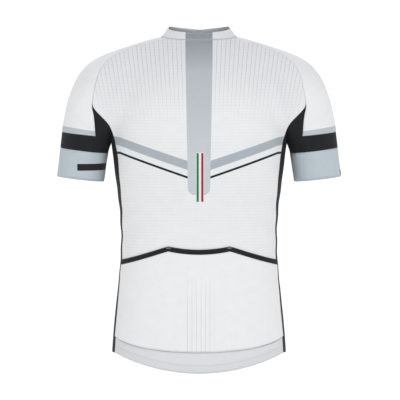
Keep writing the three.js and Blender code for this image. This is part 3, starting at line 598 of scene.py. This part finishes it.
def keepOuterSide(piece, isArm):  # faces joined by soft edges are one side; the outermost stays
    mesh = piece.data
    bpy.ops.object.mode_set(mode="EDIT")
    bpy.ops.mesh.select_mode(type="EDGE")
    bpy.ops.mesh.select_all(action="DESELECT")
    bpy.ops.mesh.edges_select_sharp(sharpness=math.radians(cloth["sharp"]))
    bpy.ops.object.mode_set(mode="OBJECT")
    sharp = {tuple(sorted(e.vertices)) for e in mesh.edges if e.select}
    beside = {}
    for polygon in mesh.polygons:
        for key in polygon.edge_keys:
            if tuple(sorted(key)) not in sharp:
                beside.setdefault(tuple(sorted(key)), []).append(polygon.index)
    group = list(range(len(mesh.polygons)))

    def rootOf(i):
        while group[i] != i:
            group[i] = group[group[i]]
            i = group[i]
        return i

    for pair in beside.values():
        for other in pair[1:]:
            group[rootOf(other)] = rootOf(pair[0])
    roots = np.array([rootOf(i) for i in range(len(mesh.polygons))])
    centres = np.array([p.center for p in mesh.polygons])
    normals = np.array([p.normal for p in mesh.polygons])
    areas = np.array([p.area for p in mesh.polygons])
    outwards = (wayOut(centres, isArm) * normals).sum(axis=1) * areas
    best = max(set(roots), key=lambda root: outwards[roots == root].sum())
    bpy.ops.object.mode_set(mode="EDIT")
    bpy.ops.mesh.select_mode(type="FACE")
    bpy.ops.object.mode_set(mode="OBJECT")
    for polygon, root in zip(mesh.polygons, roots):
        polygon.select = bool(root != best)
    bpy.ops.object.mode_set(mode="EDIT")
    bpy.ops.mesh.delete(type="FACE")
    bpy.ops.mesh.select_all(action="SELECT")
    bpy.ops.mesh.tris_convert_to_quads(face_threshold=math.pi, shape_threshold=math.pi)
    bpy.ops.object.mode_set(mode="OBJECT")


def rimKeys(mesh):  # the edges that one face has to itself
    count = {}
    for polygon in mesh.polygons:
        for key in polygon.edge_keys:
            count[key] = count.get(key, 0) + 1
    return [key for key, faces in count.items() if faces == 1]


pocketPeak = {"x": 0.062, "edges": (-0.4228, -0.4326)}  # the binding's upper and lower edge there
sheets = {}
cornerPlaces = []
for node, entry in clothPieces.items():
    piece = copyNode(node, entry["name"])
    keepOuterSide(piece, node.startswith(onArm))
    mesh = piece.data
    rim = {i for key in rimKeys(mesh) for i in key}
    uses = np.zeros(len(mesh.vertices), dtype=int)
    for polygon in mesh.polygons:
        for i in polygon.vertices:
            uses[i] += 1
    corners = [i for i in rim if uses[i] == 1]
    cornerPlaces += [mesh.vertices[i].co.copy() for i in corners]
    sheets[node] = {"piece": piece, "rim": rim}

for x in (-pocketPeak["x"], pocketPeak["x"]):  # the mouth's peaks stay sharp too
    for z in pocketPeak["edges"]:
        start = Vector((x, 1, z))
        found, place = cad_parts["pocket_binding"].ray_cast(start, Vector((0, -1, 0)))[:2]
        if found:
            cornerPlaces.append(place)
cornerTree = KDTree(len(cornerPlaces))
for i, place in enumerate(cornerPlaces):
    cornerTree.insert(place, i)
cornerTree.balance()
for node, entry in clothPieces.items():
    piece = sheets[node]["piece"]
    mesh = piece.data
    crease = mesh.attributes.new("crease_vert", "FLOAT", "POINT")
    for i in sheets[node]["rim"]:
        place, index, distance = cornerTree.find(mesh.vertices[i].co)
        crease.data[i].value = 1.0 if distance < cloth["meet"] else 0.0
    applyModifier(piece, "SUBSURF", levels=entry["levels"], render_levels=entry["levels"],
                  boundary_smooth="PRESERVE_CORNERS")
    mesh.attributes.remove(mesh.attributes["crease_vert"])
print("cloth cut")


def rimWalks(mesh):  # the open edge of a sheet as closed walks of points, in order
    beside = {}
    for a, b in rimKeys(mesh):
        beside.setdefault(a, []).append(b)
        beside.setdefault(b, []).append(a)
    walks = []
    while beside:
        start = min(beside)
        walk = [start]
        while True:
            ahead = [i for i in beside[walk[-1]] if i in beside and i not in walk[-2:]]
            if not ahead or ahead[0] == start:
                break
            walk.append(ahead[0])
            if len(walk) > 2:
                beside.pop(walk[-2], None)
        for i in walk:
            beside.pop(i, None)
        walks.append(walk)
    return walks


def normalsOf(piece):
    flat = np.empty(len(piece.data.vertices) * 3)
    piece.data.vertices.foreach_get("normal", flat)
    return flat.reshape(-1, 3)


# soft folds: rays from each armpit, and slack at the waist
softFolds = {
    "armpitX": 0.19, "armpitZ": -0.2, "rayDepth": 0.0011, "rays": 8, "rayReach": 0.095,
    "rayShift": 0.8, "rayStart": 0.035, "frontCalm": 0.035,
    "waistZ": -0.39, "waistReach": 0.1, "waistDepth": 0.0007, "waistPitch": 0.052,
    "waistLean": 16, "waistShift": 0.9, "waistFromX": 0.05, "waistFade": 0.09,
}


def hump(value, reach):  # 1 in the middle, fading to nothing past its reach
    return np.exp(-((value / reach) ** 2))


def foldHeights(points):
    folds = softFolds
    side = np.sign(points[:, 0])
    x, y, z = np.abs(points[:, 0]), points[:, 1], points[:, 2]
    dx, dz = x - folds["armpitX"], z - folds["armpitZ"]
    far = np.hypot(dx, dz)
    fade = hump(far, folds["rayReach"]) * (1 - hump(far, folds["rayStart"]))
    rays = np.cos(np.arctan2(dz, dx) * folds["rays"] + side * folds["rayShift"]) * fade
    rays *= 1 - hump(y, folds["frontCalm"])
    phase = z * (2 * math.pi / folds["waistPitch"])
    slack = np.sin(phase + x * folds["waistLean"] + side * folds["waistShift"])
    slack *= hump(z - folds["waistZ"], folds["waistReach"])
    slack *= np.clip((x - folds["waistFromX"]) / folds["waistFade"], 0, 1)
    return rays * folds["rayDepth"] + slack * folds["waistDepth"]


cutRadius = {"torso": 0.13, "arm": 0.052, "neck": 0.065}
cutWrap = {"depth": 0.12, "rate": 4.0}  # backs and fronts are flat in the middle, turning at the sides


def cutPlaces(points, node):  # where each point lies on the cut cloth, and the turn to unwrap by
    x, y, z = points.T
    if node.startswith("zip"):
        return x, z, 0
    if node.startswith(onArm):
        away = armPlace(points)
        above = -away[:, 3] if node.startswith("gusset") else away[:, 3]
        turn = np.arctan2(away[:, 1], above)
        along = np.abs(x) * armWay[0] + z * armWay[1]
        return turn * cutRadius["arm"], along, 2 * math.pi * cutRadius["arm"]
    if node == "collar" or node.startswith("side_panel"):
        radius = cutRadius["neck"] if node == "collar" else cutRadius["torso"]
        return np.arctan2(x, y) * radius, z, 2 * math.pi * radius
    wrap = cutWrap["depth"] - np.abs(y)
    return x * (1 + cutWrap["rate"] * wrap), z, 0


def layCut(piece, node):  # the UV map that the knit follows
    mesh = piece.data
    points = pointsOf(piece)
    u, v, around = cutPlaces(points, node)
    corner = np.empty(len(mesh.loops), dtype=int)
    mesh.loops.foreach_get("vertex_index", corner)
    starts = np.empty(len(mesh.polygons), dtype=int)
    counts = np.empty(len(mesh.polygons), dtype=int)
    mesh.polygons.foreach_get("loop_start", starts)
    mesh.polygons.foreach_get("loop_total", counts)
    across = u[corner]
    if around:
        first = np.repeat(across[starts], counts)
        across = across + np.round((first - across) / around) * around
    while mesh.uv_layers:
        mesh.uv_layers.remove(mesh.uv_layers[0])
    layer = mesh.uv_layers.new(name="cut")
    layer.data.foreach_set("uv", np.stack([across, v[corner]], axis=1).ravel())


for node, entry in clothPieces.items():
    piece = sheets[node]["piece"]
    normals = normalsOf(piece)
    points = pointsOf(piece)
    if not node.startswith("zip"):
        points += normals * foldHeights(points)[:, None]
    walks = rimWalks(piece.data)
    edge = np.array(sorted({i for walk in walks for i in walk}))
    points[edge] -= normals[edge] * cloth["edgeDip"]
    setPoints(piece, points)
    piece.data.shade_smooth()
    layCut(piece, node)
    faces = [tuple(p.vertices) for p in piece.data.polygons]
    area = sum(p.area for p in piece.data.polygons)
    sheets[node].update(points=points, normals=normals, walks=walks,
                        tree=BVHTree.FromPolygons([tuple(p) for p in points], faces))
    piece.data.materials.clear()
    piece.data.materials.append(finishes[entry["finish"]])
    piece.data.materials.append(finishes[entry.get("lining", entry["finish"])])
    applyModifier(piece, "SOLIDIFY", thickness=cloth["wall"], offset=-1.0, material_offset=1,
                  material_offset_rim=0, use_quality_normals=True)
    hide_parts(node)
    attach(piece, "garment")
    print(node, "area", round(area, 4), "points", len(points))
for node, entry in clothPieces.items():
    if "sewnTo" not in entry:
        tabs = [sheets[tab]["piece"] for tab, other in clothPieces.items()
                if other.get("sewnTo") == node]


def unit(rows):
    return rows / np.maximum(np.linalg.norm(rows, axis=1, keepdims=True), 1e-9)


def evenPath(points, pitch):  # places at even steps along a line, with the way along at each
    steps = np.linalg.norm(np.diff(points, axis=0), axis=1)
    gone = np.concatenate([[0], np.cumsum(steps)])

    def at(places):
        return np.stack([np.interp(places, gone, points[:, k]) for k in range(3)], axis=1)

    places = np.arange(pitch / 2, gone[-1], pitch)
    return at(places), unit(at(places + pitch / 4) - at(places - pitch / 4))


def copiesAlong(name, template, spots, ways, normals, finish):  # one mesh of many small copies
    base = pointsOf(template)
    faces = [tuple(p.vertices) for p in template.data.polygons]
    across = unit(np.cross(normals, ways))
    up = np.cross(ways, across)
    points = (spots[:, None] + base[None, :, :1] * ways[:, None]
              + base[None, :, 1:2] * across[:, None] + base[None, :, 2:] * up[:, None])
    count = len(base)
    allFaces = [tuple(i + k * count for i in face) for k in range(len(spots)) for face in faces]
    return newPiece(name, points.reshape(-1, 3), allFaces, finishes[finish])


# one stitch: a small bead of thread lying on the cloth
stitch = {"pitch": 0.0032, "long": 0.0023, "wide": 0.00045, "high": 0.00036, "sunk": 0.0001}
bpy.ops.object.select_all(action="DESELECT")
bpy.ops.mesh.primitive_uv_sphere_add(segments=6, ring_count=3, radius=0.5, rotation=(0, math.pi / 2, 0))
oneStitch = bpy.context.object
bpy.ops.object.transform_apply(location=True, rotation=True, scale=True)
bpy.ops.transform.resize(value=(stitch["long"], stitch["wide"], stitch["high"]))
bpy.ops.object.transform_apply(location=True, rotation=True, scale=True)


seams = {
    "inset": 0.0023, "bandInset": 0.0021, "probe": 0.004,
    "pocketTopZ": -0.437, "pocketSideX": 0.14, "pocketFootZ": -0.5,  # where the pocket is sewn on
    "sleeveFromX": 0.09, "sideTopZ": -0.23, "mouthEndX": 0.156,
}


def walkInside(node, inset):  # the sheet's edge moved inwards by a seam's width, in order
    sheet = sheets[node]
    nearest = sheet["tree"].find_nearest
    lines = []
    for walk in sheet["walks"]:
        line = sheet["points"][walk]
        ways = unit(np.roll(line, -1, axis=0) - np.roll(line, 1, axis=0))
        inwards = unit(np.cross(sheet["normals"][walk], ways))
        onSide = [nearest(Vector(p))[3] for p in line + inwards * seams["probe"]]
        offSide = [nearest(Vector(p))[3] for p in line - inwards * seams["probe"]]
        if sum(onSide) > sum(offSide):
            inwards = -inwards
        lines.append(np.array([nearest(Vector(p))[0] for p in line + inwards * inset]))
    return lines


def sewRun(runs, name, finish):  # stitches along the edges of several sheets, where wanted
    spots, ways, facing = [], [], []
    for node, inset, wanted in runs:
        for line in walkInside(node, inset):
            closed = np.vstack([line, line[:1]])
            for place, way in zip(*evenPath(closed, stitch["pitch"])):
                if not wanted(*place):
                    continue
                spot, normal = sheets[node]["tree"].find_nearest(Vector(place))[:2]
                spots.append(np.array(spot) - np.array(normal) * stitch["sunk"])
                ways.append(way)
                facing.append(normal)
    return copiesAlong(name, oneStitch, np.array(spots), np.array(ways), np.array(facing), finish)


def everywhere(x, y, z):
    return True


def aboveThePocket(x, y, z):
    return z > seams["pocketTopZ"]


def beyondTheNeck(x, y, z):
    return abs(x) > seams["sleeveFromX"]


def roundThePocket(x, y, z):
    return abs(x) > seams["pocketSideX"] or z < seams["pocketFootZ"]


def belowTheArm(x, y, z):
    return z < seams["sideTopZ"]


def alongTheMouth(x, y, z):
    return abs(x) < seams["mouthEndX"]


def sewn(nodes, inset, wanted=everywhere):
    return [(node, seams[inset], wanted) for node in nodes]


def both(node):
    return [f"{node}_{side}" for side in sides]


stitchRuns = {  # by piece: the edges sewn, the thread and the slot
    "panelStitches": (sewn(["back_panel"], "inset", aboveThePocket) + sewn(both("front"), "inset")
                      + sewn(both("sleeve"), "inset", beyondTheNeck)
                      + sewn(["pocket_panel"], "inset", roundThePocket), "whiteThread", "white_knit"),
    "bindingStitches": (sewn(both("side_panel"), "inset", belowTheArm)
                        + sewn(["pocket_binding"], "bandInset", alongTheMouth)
                        + sewn(both("sleeve_band"), "bandInset"), "blackThread", "black_knit"),
    "hemStitches": (sewn(["hem_back"] + both("hem_front"), "bandInset"), "whiteThread", "elastic"),
    "cuffStitches": (sewn(both("cuff"), "bandInset"), "greyThread", "grey_knit"),
    "collarStitches": (sewn(["collar"], "bandInset"), "whiteThread", "white_knit"),
}
for name, (runs, thread, slotName) in stitchRuns.items():
    piece = sewRun(runs, name, thread)
    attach(piece, "garment")
    print(name, len(piece.data.polygons))

# the pocket is divided by two sewn lines, each closed with a bar of tight stitches at the mouth
dividers = {"x": pocketPeak["x"], "topZ": -0.435, "footZ": -0.634}
mouthBars = {"wide": 0.0085, "pitch": 0.00055, "z": -0.4257, "slant": 0.12}


def sewAt(name, node, places, ways, sunk, thread):  # single stitches at given places on the back
    spots, turns, facing = [], [], []
    for (x, z), way in zip(places, ways):
        spot, normal = sheets[node]["tree"].ray_cast(Vector((x, 1, z)), Vector((0, -1, 0)))[:2]
        if spot is None:
            continue
        spots.append(np.array(spot) - np.array(normal) * sunk)
        turns.append(way)
        facing.append(normal)
    turns = unit(np.array(turns, dtype=float))
    piece = copiesAlong(name, oneStitch, np.array(spots), turns, np.array(facing), thread)
    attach(piece, "garment")
    print(name, len(spots))


count = int((dividers["topZ"] - dividers["footZ"]) / stitch["pitch"])
places = [(side * dividers["x"], dividers["topZ"] - i * stitch["pitch"])
          for side in (-1, 1) for i in range(count)]
upright = [(0, 0, 1)] * len(places)
sewAt("pocketStitches", "pocket_panel", places, upright, stitch["sunk"], "whiteThread")
count = int(mouthBars["wide"] / mouthBars["pitch"])
shifts = [(i - count / 2) * mouthBars["pitch"] for i in range(count + 1)]
places = [(side * dividers["x"] + shift, mouthBars["z"]) for side in (-1, 1) for shift in shifts]
slants = [(mouthBars["slant"] * (-1) ** i, 0, 1) for i in range(count + 1)] * 2
sewAt("pocketBars", "pocket_binding", places, slants, 0, "greyThread")
bpy.data.objects.remove(oneStitch)

# the piping in the collar seam, from the left of the zip round the back to the right of it
piping = {"radius": 0.0007, "pitch": 0.003,
          "angles": (0, 45, 80, 108, 145, 165, 171, 180),  # from the middle of the back, in degrees
          "middles": (0.0035, 0.0056, 0.0095, 0.009, -0.0015, -0.018, -0.0265, -0.0265)}  # half way up
line = sheets["collar"]["points"][sheets["collar"]["walks"][0]]
angles = np.degrees(np.arctan2(line[:, 0], line[:, 1]))
low = line[:, 2] < np.interp(np.abs(angles), piping["angles"], piping["middles"])
route = line[low][np.argsort(angles[low])]
route = evenPath(route, piping["pitch"])[0]
bpy.ops.object.select_all(action="DESELECT")
bpy.ops.curve.primitive_bezier_curve_add()
collarPiping = bpy.context.object
collarPiping.name = "collarPiping"
collarPiping.data.splines.clear()
spline = collarPiping.data.splines.new("POLY")
spline.points.add(len(route) - 1)
for point, place in zip(spline.points, route):
    point.co = (*place, 1)
collarPiping.data.bevel_depth = piping["radius"]
collarPiping.data.bevel_resolution = 2
collarPiping.data.use_fill_caps = True
selectOnly(collarPiping)
bpy.ops.object.convert(target="MESH")
collarPiping = bpy.context.object
collarPiping.data.materials.append(finishes["greyThread"])
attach(collarPiping, "garment")
print("collar piped", len(route))

# the zip: teeth in two rows on a woven core, with the slider and its pull
zipTooth = {"pitch": 0.0026, "long": 0.0018, "wide": 0.0029, "high": 0.0019, "shift": 0.0009,
            "bevel": 0.00022}
zipWoven = {"half": 0.00235, "depth": 0.0013, "wall": 0.0004, "pitch": 0.004}
zipRoute = {"step": 0.002, "footGap": 0.0004, "topGap": 0.0006, "x": 0.0001}
low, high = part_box("zip_chain")
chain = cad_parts["zip_chain"]
route = []
for z in np.arange(low[2] + zipRoute["footGap"], high[2] - zipRoute["topGap"], zipRoute["step"]):
    found, place = chain.ray_cast(Vector((zipRoute["x"], -1, z)), Vector((0, 1, 0)))[:2]
    if found:
        route.append(place)
spots, ways = evenPath(np.array(route), zipTooth["pitch"] / 2)
facing = unit(np.cross(ways, (-1, 0, 0)))
bpy.ops.object.select_all(action="DESELECT")
bpy.ops.mesh.primitive_cube_add(size=1)
oneTooth = bpy.context.object
bpy.ops.transform.resize(value=(zipTooth["long"], zipTooth["wide"], zipTooth["high"]))
bpy.ops.object.transform_apply(location=True, rotation=True, scale=True)
applyModifier(oneTooth, "BEVEL", width=zipTooth["bevel"], segments=1)
row = np.where(np.arange(len(spots)) % 2 == 0, 1, -1)[:, None]
spots = spots + row * zipTooth["shift"] * np.array([[1, 0, 0]]) - facing * zipTooth["high"] / 2
zipTeeth = copiesAlong("zipTeeth", oneTooth, spots, ways, facing, "teeth")
bpy.data.objects.remove(oneTooth)
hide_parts("zip_chain")
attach(zipTeeth, "garment")

places, ways = evenPath(np.array(route), zipWoven["pitch"])
core = places * (0, 1, 1) - unit(np.cross(ways, (-1, 0, 0))) * zipWoven["depth"]
edges = [core + np.array([x, 0, 0]) for x in (-zipWoven["half"], zipWoven["half"])]
count = len(core)
coreFaces = [(i, i + 1, count + i + 1, count + i) for i in range(count - 1)]
zipCore = newPiece("zipCore", np.vstack(edges), coreFaces, finishes["tape"])
layCut(zipCore, "zip_chain")
applyModifier(zipCore, "SOLIDIFY", thickness=zipWoven["wall"], offset=0.0)
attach(zipCore, "garment")

zipMetal = {  # by node: its name, the body it moves with, and how far its edges are rounded
    "zip_slider": {"name": "zipSlider", "body": "garment", "bevel": 0.00028},
    "zip_pull": {"name": "zipPull", "body": "pull", "bevel": 0.0003},
}
for node, entry in zipMetal.items():
    piece = copyNode(node, entry["name"])
    applyModifier(piece, "BEVEL", width=entry["bevel"], segments=2, limit_method="ANGLE",
                  angle_limit=math.radians(40))
    selectOnly(piece)
    bpy.ops.object.shade_smooth_by_angle(angle=math.radians(35))
    piece.data.materials.clear()
    piece.data.materials.append(finishes["lacquer"])
    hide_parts(node)
    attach(piece, entry["body"])
print("zip made", len(spots))

# the studio: a pale floor that fills the view, even light from all round, and three soft lamps
studio = {"floorZ": -0.95, "floorHalf": 120.0, "worldLight": 0.56, "softness": 40, "lens": 1059.0,
          "far": 24.0, "viewEnd": 400, "aim": (-0.002, 0.0, -0.3325), "elevation": 3.0}
lamps = {  # the side each shines from, its height in degrees and its strength
    "keyLamp": {"azimuth": 215, "elevation": 48, "strength": 1.15},
    "fillLamp": {"azimuth": 130, "elevation": 30, "strength": 0.5},
    "frontLamp": {"azimuth": 10, "elevation": 45, "strength": 0.85},
}
bpy.ops.object.select_all(action="DESELECT")
bpy.ops.mesh.primitive_plane_add(size=2 * studio["floorHalf"], location=(0, 0, 0))
floor = bpy.context.object
floor.name = "studioFloor"
bpy.ops.transform.translate(value=(0, 0, studio["floorZ"]))
bpy.ops.object.transform_apply(location=True, rotation=True, scale=True)
floorPaint = ShaderMaker("pale floor")
floor.data.materials.append(floorPaint.finish((1.0, 1.0, 1.0, 1.0), 0.9, Specular_IOR_Level=0.1))

world = bpy.data.worlds.new("studio light")
scene.world = world
world.use_nodes = True
world.node_tree.nodes["Background"].inputs["Color"].default_value = (1, 1, 1, 1)
world.node_tree.nodes["Background"].inputs["Strength"].default_value = studio["worldLight"]


def addLamp(name, azimuth, elevation, strength):  # a broad soft lamp, shining from that side
    bpy.ops.object.light_add(type="SUN", location=(0, 0, 2))
    lamp = bpy.context.object
    lamp.name = name
    lamp.data.energy = strength
    lamp.data.angle = math.radians(studio["softness"])
    turn, rise = math.radians(azimuth), math.radians(elevation)
    shine = Vector((math.sin(turn) * math.cos(rise), -math.cos(turn) * math.cos(rise), math.sin(rise)))
    lamp.rotation_euler = shine.to_track_quat("Z", "Y").to_euler()


for name, lamp in lamps.items():
    addLamp(name, **lamp)

bpy.ops.object.camera_add()
camera = bpy.context.object
camera.name = "photoCamera"
camera.data.lens = studio["lens"]
camera.data.clip_end = studio["viewEnd"]
rise = math.radians(studio["elevation"])
wayToCamera = Vector((0, math.cos(rise), math.sin(rise)))
camera.location = Vector(studio["aim"]) + wayToCamera * studio["far"]
camera.rotation_euler = wayToCamera.to_track_quat("Z", "Y").to_euler()
scene.camera = camera
scene.view_settings.view_transform = "Standard"
print("studio ready")

bpy.context.view_layer.update()
